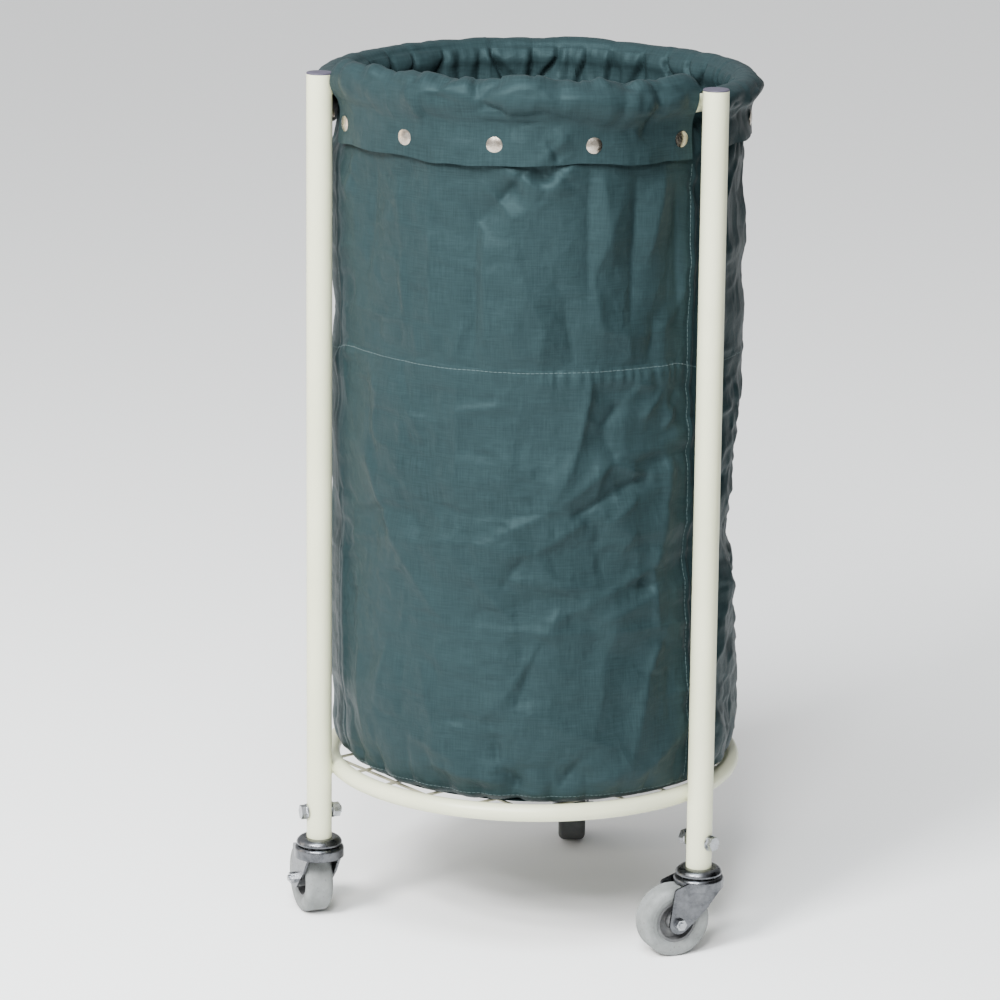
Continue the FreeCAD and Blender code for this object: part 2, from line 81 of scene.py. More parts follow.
# ---- node materials --------------------------------------------------------------------
class Shader:
    """A material with one Principled shader and short calls for the nodes round it."""

    def __init__(self, name, **sockets):
        self.material = bpy.data.materials.new(name)
        self.material.use_nodes = True
        self.tree = self.material.node_tree
        self.principled = self.tree.nodes["Principled BSDF"]
        for socket, value in sockets.items():
            self.principled.inputs[socket.replace("_", " ")].default_value = value

    def node(self, kind, **settings):
        """A new node of a kind, such as TexNoise, with its settings."""
        made = self.tree.nodes.new("ShaderNode" + kind)
        for key, value in settings.items():
            setattr(made, key, value)
        return made

    def link(self, source, target):
        self.tree.links.new(source, target)

    def place(self, kind="Object"):
        return self.node("TexCoord").outputs[kind]

    def noise(self, place, scale, detail=4.0, rough=0.55):
        """A cloudy value from 0 to 1, with scale cells to the metre."""
        made = self.node("TexNoise")
        made.inputs["Scale"].default_value = scale
        made.inputs["Detail"].default_value = detail
        made.inputs["Roughness"].default_value = rough
        self.link(place, made.inputs["Vector"])
        return made.outputs["Fac"]

    def stretched(self, place, x, y, z):
        """The place scaled along each axis, which draws a pattern out along the small ones."""
        made = self.node("Mapping")
        made.inputs["Scale"].default_value = (x, y, z)
        self.link(place, made.inputs["Vector"])
        return made.outputs["Vector"]

    def ramp(self, value, stops):
        """A value turned into a colour or grey by (position, colour) stops."""
        made = self.node("ValToRGB")
        elements = made.color_ramp.elements
        while len(elements) < len(stops):
            elements.new(0.5)
        for element, (position, colour) in zip(elements, stops):
            element.position = position
            element.color = colour if len(colour) == 4 else (*colour, 1)
        self.link(value, made.inputs["Fac"])
        return made.outputs["Color"]

    def range(self, value, low, high, out_low, out_high):
        """A value mapped from low to high onto out_low to out_high, and held at the ends."""
        made = self.node("MapRange")
        for socket, number in zip(("From Min", "From Max", "To Min", "To Max"),
                                  (low, high, out_low, out_high)):
            made.inputs[socket].default_value = number
        self.link(value, made.inputs["Value"])
        return made.outputs["Result"]

    def maths(self, operation, a, b=None):
        """Blender's maths on values or plain numbers."""
        made = self.node("Math", operation=operation)
        for socket, value in zip(made.inputs, (a, b)):
            if value is None:
                continue
            if isinstance(value, (int, float)):
                socket.default_value = value
            else:
                self.link(value, socket)
        return made.outputs["Value"]

    def mix(self, factor, a, b):
        """Colour a where the factor is 0 and b where it is 1."""
        made = self.node("Mix", data_type="RGBA")
        for socket, value in zip((made.inputs["Factor"], made.inputs[6], made.inputs[7]), (factor, a, b)):
            if isinstance(value, tuple):
                socket.default_value = value if len(value) == 4 else (*value, 1)
            elif isinstance(value, (int, float)):
                socket.default_value = value
            else:
                self.link(value, socket)
        return made.outputs[2]

    def set(self, socket, value):
        self.link(value, self.principled.inputs[socket])

    def bump(self, height, distance, strength=1.0, under=None):
        """A bump of a height in metres, laid over another bump if one is given."""
        made = self.node("Bump")
        made.inputs["Strength"].default_value = strength
        made.inputs["Distance"].default_value = distance
        self.link(height, made.inputs["Height"])
        if under is not None:
            self.link(under, made.inputs["Normal"])
        return made.outputs["Normal"]


def powder_coat(name, light, dark):
    """Powder coat: satin, a fine orange peel, scuffed a little darker low down."""
    s = Shader(name, Roughness=0.38, Specular_IOR_Level=0.5, Coat_Weight=0.12, Coat_Roughness=0.25)
    place = s.place()
    broad = s.noise(place, 9, 3)
    base = s.ramp(broad, [(0.3, dark), (0.7, light)])
    scuff = s.noise(s.stretched(place, 1, 1, 0.25), 60, 6, 0.7)
    marks = s.range(scuff, 0.66, 0.76, 0.0, 0.35)
    height = s.node("SeparateXYZ")
    s.link(place, height.inputs[0])
    low = s.range(height.outputs["Z"], 0.22, 0.09, 0.0, 1.0)
    s.set("Base Color", s.mix(s.maths("MULTIPLY", marks, s.maths("ADD", low, 0.25)), base,
                              (0.42, 0.41, 0.35)))
    s.set("Roughness", s.range(broad, 0.2, 0.8, 0.32, 0.45))
    peel = s.noise(place, 420, 2)
    s.set("Normal", s.bump(peel, 0.00012, 0.5))
    return s.material


def cap_plastic():
    """Dark moulded plastic with a slight violet cast."""
    s = Shader("cap_plastic", Roughness=0.48)
    place = s.place()
    s.set("Base Color", s.ramp(s.noise(place, 160, 4), [(0.3, (0.032, 0.028, 0.045)),
                                                       (0.7, (0.055, 0.048, 0.075))]))
    s.set("Normal", s.bump(s.noise(place, 1500, 2), 0.00008, 0.6))
    return s.material


def plated_metal(name, dark, light, rough_low, rough_high, grain=90.0):
    """Plated steel: mottled, with fine scratches and a rougher film where it has dulled."""
    s = Shader(name, Metallic=1.0)
    place = s.place()
    film = s.noise(place, grain, 6, 0.65)
    s.set("Base Color", s.ramp(film, [(0.3, dark), (0.7, light)]))
    scratch = s.noise(s.stretched(place, 1, 1, 14), 260, 3)
    s.set("Roughness", s.range(s.maths("ADD", film, s.maths("MULTIPLY", scratch, 0.4)),
                               0.4, 1.0, rough_low, rough_high))
    s.set("Normal", s.bump(s.noise(place, 500, 3), 0.00006, 0.5))
    return s.material


def tyre_rubber(name, shade):
    """Rubber: dusty, scuffed on the tread. shade is how light it is: 1 for the grey tyres, less for a darker
    copy that is painted shade.
    """
    s = Shader(name, Roughness=0.72, Specular_IOR_Level=0.35)
    place = s.place()
    dust = s.noise(place, 55, 6, 0.65)
    greys = [(0.25, (0.115, 0.122, 0.118)), (0.6, (0.19, 0.20, 0.197)), (0.8, (0.24, 0.25, 0.248))]
    base = s.ramp(dust, [(at, tuple(c * shade for c in colour)) for at, colour in greys])
    specks = s.range(s.noise(place, 340, 3), 0.63, 0.7, 0.0, 0.6)
    s.set("Base Color", s.mix(specks, base, tuple(c * shade for c in (0.09, 0.09, 0.085))))
    s.set("Normal", s.bump(s.noise(place, 700, 4), 0.0002, 0.6))
    return s.material


def hub_plastic():
    """Dark moulded nylon, greyed with dust."""
    s = Shader("hub_plastic", Roughness=0.55)
    place = s.place()
    s.set("Base Color", s.ramp(s.noise(place, 120, 5), [(0.3, (0.05, 0.052, 0.055)),
                                                       (0.75, (0.13, 0.13, 0.13))]))
    s.set("Normal", s.bump(s.noise(place, 900, 3), 0.0001, 0.6))
    return s.material


def bag_cloth(name, weave=0.9 * MM):
    """Coated woven nylon: fine square weave, satin coating, faint chalky rub on the high folds."""
    s = Shader(name, Roughness=0.5, Specular_IOR_Level=0.34, IOR=1.26)
    s.principled.inputs["Specular Tint"].default_value = (0.6, 0.9, 0.95, 1)
    place = s.place()
    cloudy = s.noise(place, 6, 4)
    base = s.ramp(cloudy, [(0.3, (0.0077, 0.0155, 0.0170)), (0.7, (0.0107, 0.0204, 0.0224))])
    rub = s.range(s.noise(s.stretched(place, 1, 1, 0.4), 130, 6, 0.7), 0.58, 0.75, 0.0, 0.22)
    slubs = s.maths("ADD", s.noise(s.stretched(s.place("UV"), 900, 40, 1), 1, 3),
                    s.noise(s.stretched(s.place("UV"), 40, 900, 1), 1, 3))
    base = s.mix(s.range(slubs, 0.8, 1.25, 0.0, 0.5), base, (0.019, 0.035, 0.038))
    s.set("Base Color", s.mix(rub, base, (0.021, 0.036, 0.038)))
    uv = s.place("UV")
    axes = s.node("SeparateXYZ")
    s.link(uv, axes.inputs[0])
    turns = 2 * math.pi / weave
    warp = s.maths("SINE", s.maths("MULTIPLY", axes.outputs["X"], turns))
    weft = s.maths("SINE", s.maths("MULTIPLY", axes.outputs["Y"], turns))
    threads = s.maths("MULTIPLY", warp, weft)
    s.set("Roughness", s.range(cloudy, 0.3, 0.7, 0.43, 0.53))
    fine = s.bump(threads, 0.00005, 0.5)
    for scale, height in ((48, 0.0005), (20, 0.0014)):
        ridge = s.maths("ABSOLUTE", s.maths("SUBTRACT", s.noise(place, scale, 2, 0.5), 0.5))
        fine = s.bump(s.range(ridge, 0.0, 0.14, 1.0, 0.0), height, 0.35, fine)
    s.set("Normal", fine)
    return s.material


def thread():
    """Matt sewing thread, a shade lighter than the cloth."""
    s = Shader("thread", Roughness=0.7, Sheen_Weight=0.2)
    s.set("Base Color", s.ramp(s.noise(s.place(), 900, 3), [(0.3, (0.03, 0.055, 0.057)),
                                                           (0.7, (0.055, 0.095, 0.098))]))
    return s.material


# ---- the bag's cloth -----------------------------------------------------------------------
COLUMNS = 528             # round the bag; a third of them to each bay
CLOTH_T = 0.9 * MM
CUT_R = 206 * MM          # radius of the bag's tube as it is cut and sewn
MM_PER_DEGREE = 3.55      # round the bag's wall
WALL_ROWS = 286           # rows of points from the foot to the mouth
CUFF_ROWS = 46            # and from the mouth to the hem
FOLD_LIFT = 2.3           # all the wall's placed creases are raised by this much
FOLD_WIDTH = 0.85         # and narrowed by this much
CUFF_FOLD_LIFT = 2.5
CUFF_ROOM = 9.0           # how far, in mm, the cuff may stand off its arch
MOUTH_NEAR = 0.08         # of a row: how close the rows beside the mouth are to it
# (radius, height) of the wall's outside from the foot up to where it meets the cuff
WALL = [(185.6, 164.2), (189.5, 165.5), (194.5, 168.5), (199.0, 176.0), (201.8, 190.0), (203.2, 215.0),
        (202.0, 300.0), (201.0, 400.0), (202.0, 500.0), (202.6, 600.0), (203.0, 700.0), (203.2, 812.0),
        (199.5, 828.0), (193.2, 838.0)]
FRONT_MOUTH = [(192.4, 850.0), (192.0, 868.0)]
SIDE_MOUTH = [(192.4, 845.0), (191.8, 851.0)]
# (radius, height) of the cuff's inner face, over the hoop and down to the hem
FRONT_CUFF = [(192.2, 872.5), (195.2, 876.6), (200.0, 878.8), (205.0, 879.0), (210.0, 877.0), (214.4, 872.8),
              (217.0, 866.5), (217.4, 859.0), (215.6, 850.5), (211.4, 842.0), (208.0, 834.0), (207.4, 826.0),
              (207.8, 817.0), (207.9, 808.0), (208.6, 799.2)]
SIDE_CUFF = [(192.8, 854.6), (195.4, 856.9), (200.0, 858.4), (205.0, 858.5), (210.0, 857.2), (214.6, 854.0),
             (217.8, 848.8), (218.4, 843.0), (216.4, 837.0), (211.0, 833.0), (208.0, 829.0), (207.4, 823.0),
             (207.8, 817.0), (207.9, 808.0), (208.6, 799.2)]


def resampled(points, count):
    """An open line as a number of evenly spaced points."""
    points = np.array(points, float)
    along = np.concatenate([[0], np.cumsum(np.linalg.norm(np.diff(points, axis=0), axis=1))])
    at = np.linspace(0, along[-1], count)
    return np.stack([np.interp(at, along, points[:, k]) for k in range(2)], axis=1)


def softened(points, times=6):
    """The same line with its corners rounded off and its ends kept."""
    points = points.copy()
    for _ in range(times):
        points[1:-1] = (points[:-2] + 2 * points[1:-1] + points[2:]) / 4
    return points


def cloth_profile(mouth, cuff):
    """(radius, height) rows in metres from the foot to the hem."""
    wall = resampled(np.array(WALL + mouth) * MM, WALL_ROWS)
    turned = resampled(np.array([mouth[-1]] + cuff) * MM, CUFF_ROWS)
    return softened(np.vstack([wall, turned[1:]]))


def front_share(azimuth):
    """1 over the front bay and 0 over the other two, easing across the posts."""
    t = np.clip((66 - np.abs(apart(azimuth, BAYS["front"]))) / 14, 0, 1)
    return t * t * (3 - 2 * t)


def rear_share(azimuth):
    """1 at the rear post, easing to 0 well before the bag's sides."""
    return np.exp(-(apart(azimuth, POST_AZIMUTHS["rear"]) / 58) ** 4)


def noise_field(shape, seed, cells):
    """Smooth noise from -1 to 1 that closes on itself round the bag."""
    rows, columns = shape
    high, wide = cells
    grid = np.random.default_rng(seed).uniform(-1, 1, (high + 2, wide))
    v = np.linspace(0, high, rows)[:, None]
    u = (np.arange(columns) * wide / columns)[None, :]
    i, j = np.minimum(v.astype(int), high), u.astype(int)
    fv, fu = v - i, u - j
    fv, fu = fv * fv * (3 - 2 * fv), fu * fu * (3 - 2 * fu)
    j2 = (j + 1) % wide
    low = grid[i, j] * (1 - fu) + grid[i, j2] * fu
    top = grid[i + 1, j] * (1 - fu) + grid[i + 1, j2] * fu
    return low * (1 - fv) + top * fv


def crumple(shape, seed, cells):
    """Cloth that has been folded small: flat faces meeting in sharp ridges and valleys."""
    ridges = 1 - 2 * np.abs(noise_field(shape, seed, cells))
    valleys = 1 - 2 * np.abs(noise_field(shape, seed + 1, cells))
    return np.maximum(ridges, 0) ** 1.5 - 0.8 * np.maximum(valleys, 0) ** 1.5


def apart(a, b):
    """The signed angle from b to a, in degrees."""
    return (a - b + 180) % 360 - 180


def add_fold(field, azimuth, height, start, end, lift, left, right, sharp=0.8):
    """Raises or sinks a crease between two (azimuth, height in mm) points of the cloth.

    left and right are how far, in mm, the cloth takes to fall away on each side of the crease.
    """
    widest = max(left, right)
    middle = start[0] + apart(end[0], start[0]) / 2
    reach = 4 * widest / 3.5
    span = abs(apart(end[0], start[0])) / 2 + reach
    columns = np.nonzero(np.abs(apart(azimuth, middle)) < span)[0]
    z_low, z_high = sorted((start[1], end[1]))
    rows = np.nonzero((height > z_low - 4 * widest) & (height < z_high + 4 * widest))[0]
    if len(columns) == 0 or len(rows) == 0:
        return
    per_degree = CUT_R / MM * math.pi / 180
    u = apart(azimuth[columns], start[0])[None, :] * per_degree
    v = (height[rows] - start[1])[:, None]
    du, dv = apart(end[0], start[0]) * per_degree, end[1] - start[1]
    length = math.hypot(du, dv)
    along = (u * du + v * dv) / length ** 2
    side = (u * dv - v * du) / length
    inside = np.clip(along, 0, 1)
    away = np.hypot((along - inside) * length, side)
    width = np.where(side > 0, right, left)
    shape = np.exp(-(np.sqrt(away ** 2 + sharp ** 2) - sharp) / width)
    taper = 1 - np.abs(2 * inside - 1) ** 3 * 0.75
    field[np.ix_(rows, columns)] += lift * shape * taper


# Creases in the front of the bag: (start, end, lift, left width, right width), azimuth and mm
FRONT_FOLDS = [
    ((228, 500), (234, 447), 3.0, 16, 10), ((234, 447), (241, 408), 3.6, 18, 9),
    ((241, 408), (256, 345), 3.0, 14, 9), ((239, 418), (263, 428), 4.6, 9, 26),
    ((263, 428), (281, 420), 4.4, 8, 22), ((281, 420), (295, 452), 3.0, 16, 8),
    ((268, 430), (287, 464), 2.6, 8, 16), ((287, 464), (303, 507), 3.4, 16, 8),
    ((286, 467), (293, 520), 2.6, 14, 8), ((293, 520), (297, 592), 3.4, 18, 7),
    ((303, 507), (314, 491), 2.8, 8, 12), ((314, 491), (323, 494), 2.4, 8, 8),
    ((292, 456), (304, 478), -2.8, 8, 10), ((304, 478), (315, 491), -2.6, 7, 9),
    ((303, 450), (311, 472), 2.2, 7, 8), ((260, 598), (259, 470), 1.6, 8, 14),
    ((322, 508), (318, 418), 3.2, 18, 9), ((318, 418), (316, 398), 3.0, 12, 8),
    ((316, 398), (317, 338), 3.2, 16, 8), ((294, 366), (316, 400), 2.6, 8, 14),
    ((299, 349), (317, 371), 2.6, 7, 12), ((311, 384), (317, 378), -2.2, 7, 7),
    ((261, 343), (300, 339), 1.5, 5, 12), ((300, 339), (331, 338), 1.7, 5, 12),
    ((240, 346), (261, 343), 1.0, 5, 9), ((259, 416), (274, 354), 1.8, 8, 8),
    ((281, 413), (300, 348), 1.8, 10, 8), ((279, 420), (272, 384), -2.8, 10, 12),
    ((217, 410), (236, 418), 1.4, 6, 8), ((257, 556), (275, 565), 1.5, 5, 9),
    ((288, 364), (283, 333), 2.2, 10, 10), ((283, 333), (274, 281), 2.2, 12, 10),
    ((274, 281), (264, 243), 2.0, 12, 12), ((284, 340), (276, 268), -1.8, 8, 12),
    ((276, 264), (303, 222), 3.0, 9, 22), ((318, 322), (314, 293), 3.4, 16, 10),
    ((314, 293), (309, 214), 4.4, 24, 10), ((309, 214), (301, 178), 4.0, 18, 10),
    ((270, 238), (271, 205), -3.2, 10, 14), ((271, 205), (277, 184), -3.4, 10, 12),
    ((251, 199), (273, 186), 3.0, 8, 12), ((244, 226), (262, 206), 1.8, 9, 9),
    ((310, 188), (332, 243), 3.2, 12, 9), ((321, 268), (333, 266), 1.8, 7, 8),
    ((294, 212), (288, 184), -3.0, 10, 10), ((296, 186), (306, 196), 2.0, 8, 8),
    ((211, 420), (213, 250), 2.6, 10, 16), ((221, 330), (224, 215), 2.4, 16, 10),
    ((236, 320), (230, 235), 1.6, 9, 12), ((248, 300), (252, 232), 1.4, 9, 9),
    ((206, 540), (212, 450), 2.2, 10, 12), ((305, 415), (310, 440), 1.6, 8, 8),
    ((268, 520), (282, 500), 0.9, 10, 10), ((243, 560), (250, 520), 0.9, 8, 10),
    ((306, 566), (300, 540), -2.4, 9, 12), ((300, 540), (304, 508), -2.0, 8, 12),
    ((318, 572), (312, 548), 2.2, 8, 8), ((323, 556), (319, 536), 2.0, 6, 8),
    ((309, 585), (316, 578), 1.6, 6, 7), ((262, 322), (286, 305), 0.8, 8, 12),
]
# Broad hollows where the empty bag has fallen in, and one bulge, whose depth is below zero:
# azimuth, height, depth, half width and half height
DENTS = [
    (10, 392, 14, 26, 88), (191, 350, -9, 15, 190), (352, 250, 5, 14, 50), (62, 470, 12, 20, 110),
    (118, 380, 14, 22, 120), (170, 520, 9, 18, 90), (160, 300, 8, 16, 70), (30, 700, 6, 16, 70),
    (140, 690, 7, 20, 70),
]
# The same in the upper wall, pulled down from the press studs
UPPER_FOLDS = [
    ((270, 803), (277, 787), 4.0, 9, 14), ((277, 787), (283, 771), 4.2, 9, 12),
    ((292, 804), (288, 788), 4.0, 12, 9), ((288, 788), (284, 771), 3.6, 12, 8),
    ((280, 797), (285, 784), -4.2, 12, 12), ((276, 780), (271, 762), -3.6, 16, 12),
    ((271, 762), (265, 738), -3.0, 16, 16), ((284, 762), (272, 742), 1.4, 12, 24),
    ((264.5, 752), (264.5, 612), -2.6, 10, 16), ((267, 730), (268, 625), 1.8, 12, 12),
    ((295.5, 798), (295.5, 668), -2.2, 9, 14), ((299, 790), (302, 700), 2.2, 12, 16),
    ((251, 788), (252, 606), 1.6, 12, 18), ((309, 786), (308, 640), -2.4, 14, 12),
    ((304, 760), (297, 690), 2.2, 12, 16), ((297, 690), (300, 630), 1.8, 10, 14),
    ((318, 790), (313, 700), 2.6, 12, 14), ((322, 770), (324, 640), -2.0, 9, 12),
    ((212, 780), (219, 744), 2.0, 9, 10), ((222, 790), (217, 744), 2.0, 10, 9),
    ((231, 788), (226, 640), -1.6, 16, 16), ((240, 780), (243, 640), 1.4, 14, 20),
    ((276, 690), (284, 640), 2.0, 16, 14), ((284, 640), (282, 606), 2.2, 12, 12),
    ((271, 660), (278, 606), 1.8, 12, 12), ((289, 664), (292, 604), -2.0, 12, 12),
    ((261, 640), (258, 604), 1.4, 8, 10), ((306, 640), (309, 604), 1.6, 9, 12),
    ((316, 650), (314, 604), -1.8, 9, 10), ((246, 636), (247, 604), 1.0, 8, 9),
]


def strewn_folds(seed, count, low, high, longest, deepest, spare_front=False):
    """Seeded creases over a band of the wall, in mm, with the front left alone if asked."""
    rng = np.random.default_rng(seed)
    folds = []
    while len(folds) < count:
        azimuth, z = rng.uniform(0, 360), rng.uniform(low, high)
        lean = rng.normal(0, 1.0)
        length = rng.uniform(0.25, 1) * longest
        lift = deepest * rng.uniform(0.25, 1) * rng.choice([1, 1, -1])
        width = rng.uniform(5, 15)
        share = rng.uniform(0.5, 1.6)
        if spare_front and abs(apart(azimuth, BAYS["front"])) < FRONT_HALF:
            continue
        half_turn = math.degrees(math.sin(lean) * length / 2 / (CUT_R / MM))
        rise = math.cos(lean) * length / 2
        folds.append(((azimuth - half_turn, z - rise), (azimuth + half_turn, z + rise), lift, width,
                      width * share))
    return folds


def snap_azimuths():
    first = -(SNAPS_PER_BAY - 1) / 2
    return [middle + (first + k) * SNAP_STEP for middle in BAYS.values() for k in range(SNAPS_PER_BAY)]


def near_snaps(azimuth, spread):
    """1 at each press stud and 0 away from it, for every column."""
    gap = np.min([np.abs(apart(azimuth, a)) for a in snap_azimuths()], axis=0)
    return np.exp(-(gap / spread) ** 2)


def pleats(azimuth, seed, count):
    """Gathers: rounded ridges with sharp hollows between them, from 0 to 1, unevenly spaced."""
    wobble = noise_field((2, len(azimuth)), seed, (1, count // 2))[0]
    size = noise_field((2, len(azimuth)), seed + 1, (1, count // 2))[0]
    phase = np.radians(azimuth) * count / 2 + wobble * 1.3
    return np.abs(np.sin(phase)) ** 0.8 * (0.68 + 0.32 * size)


def from_nearest_post(azimuth):
    """The angle from each column to the nearest post."""
    return np.min([np.abs(apart(azimuth, a)) for a in POST_AZIMUTHS.values()], axis=0)


def wall_outward(azimuth, z):
    """How far the wall stands outward of its plain profile, in mm, over rows z and the columns."""
    field = crumpled_wall(azimuth, z)
    field += girth_pucker(azimuth, z)
    for middle, height, depth, wide, tall in DENTS:
        line = (apart(azimuth, middle)[None, :] / wide) ** 2 + ((z[:, None] - height) / tall) ** 2
        field -= depth * np.exp(-line)
    foot = np.clip((238 - z) / 60, 0, 1)[:, None] ** 1.3
    gathers = pleats(azimuth, 41, 34)[None, :] * 5.5 - 3.4
    field += gathers * foot
    for azimuth_seam in POST_AZIMUTHS.values():
        line = np.abs(apart(azimuth, azimuth_seam - 0.9))[None, :] * MM_PER_DEGREE
        field += 1.0 * np.exp(-(line / 3.0) ** 2) - 0.8 * np.exp(-((line - 5) / 2.5) ** 2)
    field[(z < 171)[:, None] & (field > 0.5)] = 0.5
    under_cuff = np.clip((z - 786) / 20, 0, 1)[:, None]
    field *= (1 - under_cuff)
    room = 8.5 * np.clip((z - 165) / 25, 0, 1)[:, None] + 0.4
    room = np.minimum(room, 6.0 + np.clip(from_nearest_post(azimuth) - 7, 0, 3)[None, :])
    return np.where(field > 0, room * np.tanh(field / room), field)


def crumpled_wall(azimuth, z):
    """The wall's waves, crumples and creases, in mm."""
    field = np.zeros((len(z), len(azimuth)))
    shape = field.shape
    lower = (z < SEAM_Z / MM).astype(float)[:, None]
    field += noise_field(shape, 11, (9, 9)) * 2.6 + noise_field(shape, 12, (22, 20)) * 1.5
    field += lower * noise_field(shape, 13, (30, 34)) * 0.9
    for seed, cells, height in ((15, (11, 15), 5.0), (17, (23, 32), 2.8), (19, (48, 66), 1.1)):
        strength = 0.35 + 0.65 * np.clip(noise_field(shape, seed + 40, (7, 9)) + 0.3, 0, 1)
        field += crumple(shape, seed, cells) * height * strength * (0.75 + 0.25 * lower)
    for start, end, lift, left, right in FRONT_FOLDS + UPPER_FOLDS:
        add_fold(field, azimuth, z, start, end, lift * FOLD_LIFT, left * FOLD_WIDTH, right * FOLD_WIDTH)
    strewn = (strewn_folds(21, 150, 190, 590, 95, 5.0, spare_front=True)
              + strewn_folds(22, 90, 180, 590, 50, 1.8)
              + strewn_folds(23, 46, 630, 800, 110, 4.2, spare_front=True)
              + strewn_folds(24, 30, 170, 250, 60, 4.0, spare_front=True))
    for start, end, lift, left, right in strewn:
        add_fold(field, azimuth, z, start, end, lift, left, right)
    return field


def girth_pucker(azimuth, z):
    """The girth seam's pucker, its lap and the small pleats below its right half, in mm."""
    shape = (len(z), len(azimuth))
    from_seam = (z - SEAM_Z / MM)[:, None]
    pucker = noise_field(shape, 31, (4, 88)) * 1.5 + noise_field(shape, 32, (4, 40)) * 2.0
    field = pucker * np.exp(-np.abs(from_seam) / 15) - 0.8 * np.exp(-(from_seam / 4) ** 2)
    field += 0.35 * ((from_seam < 0) & (from_seam > -9))
    under_seam = pleats(azimuth, 35, 120)[None, :] * 3.2 * np.exp(-((from_seam + 9) / 8) ** 2)
    return field + under_seam * np.exp(-(apart(azimuth, 304)[None, :] / 26) ** 4)


def cuff_lift(azimuth, q):
    """How far the cuff stands off its plain arch, in mm. q is 0 at the mouth and 1 at the hem."""
    shape = (len(q), len(azimuth))
    across = q[:, None]
    field = noise_field(shape, 51, (3, 26)) * 2.6 + noise_field(shape, 52, (5, 60)) * 1.2
    for k, a in enumerate(snap_azimuths()):
        half = SNAP_STEP / 2
        line = np.abs(apart(azimuth, a + half))[None, :] / half
        depth = (1.0, 0.55, 0.8, 0.35, 0.9)[k % 5]
        field -= depth * 3.0 * np.exp(-(line / 0.5) ** 2) * np.exp(-((across - 0.60) / 0.12) ** 2)
        field += depth * 2.6 * np.exp(-(line / 0.45) ** 2) * np.exp(-((across - 0.98) / 0.12) ** 2)
    over = np.exp(-((across - 0.26) / 0.22) ** 2)
    slant = noise_field(shape, 63, (5, 14)) * 6.0
    gathers = 0.6 + (pleats(azimuth, 61, 28) - 0.6) * (1 - 0.65 * (np.abs(apart(azimuth, 234)) < 20))
    for row in range(shape[0]):
        field[row] += (np.interp(azimuth + slant[row], azimuth, gathers, period=360) - 0.6) * 5.5 * over[row]
    field += crumple(shape, 65, (4, 44)) * 3.2 * np.exp(-((across - 0.42) / 0.3) ** 2)
    rolled = front_share(azimuth) * np.clip((azimuth - 256) / 10, 0, 1) * np.clip((318 - azimuth) / 8, 0, 1)
    rolled = ((0.12 + 0.88 * rolled) * (1 + 0.6 * noise_field(shape, 67, (2, 30))[0]))[None, :]
    wander = noise_field(shape, 68, (2, 24))[0][None, :] * 0.06
    field += rolled * 6.5 * np.exp(-((across - 0.43 + wander) / 0.11) ** 2)
    tucked = rolled * np.exp(-(apart(azimuth, 288)[None, :] / 14) ** 2)
    field -= tucked * 5.0 * np.exp(-((across - 0.66 + wander * 1.5) / 0.08) ** 2)
    field -= 4.5 * hollow_share(azimuth, np.full(len(q), 3.0)) * np.exp(-((across - 0.12) / 0.12) ** 2)
    return field


# Folds in the front cuff: (azimuth, share of the way to the hem) ends, lift and widths
CUFF_FOLDS = [
    ((264, 0.10), (266, 0.42), -3.4, 5, 14), ((266, 0.42), (274, 0.58), -3.0, 7, 10),
    ((268, 0.12), (282, 0.34), 2.4, 14, 14),
    ((287, 0.36), (303, 0.44), 2.8, 8, 10), ((303, 0.44), (312, 0.56), 2.4, 8, 10),
    ((284, 0.78), (287, 0.98), -2.6, 5, 8), ((289, 0.72), (283, 0.95), 2.2, 8, 6),
    ((311, 0.16), (314, 0.50), -2.6, 6, 10), ((314, 0.50), (309, 0.80), -2.4, 9, 9),
    ((297, 0.10), (299, 0.30), 2.0, 6, 6), ((222, 0.30), (246, 0.42), -2.2, 14, 14),
    ((228, 0.10), (236, 0.34), 1.8, 12, 12), ((246, 0.34), (250, 0.62), 1.6, 12, 10),
    ((304, 0.14), (306, 0.34), -1.8, 6, 8), ((253, 0.16), (256, 0.30), -1.4, 8, 8),
]


# Azimuths of the deep hollows between the gathers inside the mouth, as they fall at the back
HOLLOWS = [133, 117, 104, 96, 87, 79, 68, 59, 49, 40, 30]


def hollow_places():
    """The hollows round the whole mouth: the listed ones, and seeded ones for the rest."""
    rng = np.random.default_rng(71)
    places = list(HOLLOWS)
    at = 145.0
    while at < 380:
        places.append(at)
        at += rng.uniform(8, 14)
    return places


def hollow_share(azimuth, below):
    """1 in the bottom of a hollow and 0 on the gathers, for depths below the crown in mm."""
    rng = np.random.default_rng(72)
    share = np.zeros((len(below), len(azimuth)))
    for place in hollow_places():
        slope, size, wide = rng.uniform(-0.22, 0.22), rng.uniform(0.6, 1), rng.uniform(0.8, 1.25)
        half = ((1.4 + 2.6 * np.clip(below / 36, 0, 1)) * wide)[:, None]
        line = apart(azimuth[None, :], (place + slope * below)[:, None])
        line = np.where(line < 0, -line / (1.7 * half), line / (0.5 * half))
        share = np.maximum(share, size * np.clip(1 - line, 0, 1) ** 0.9)
    return share


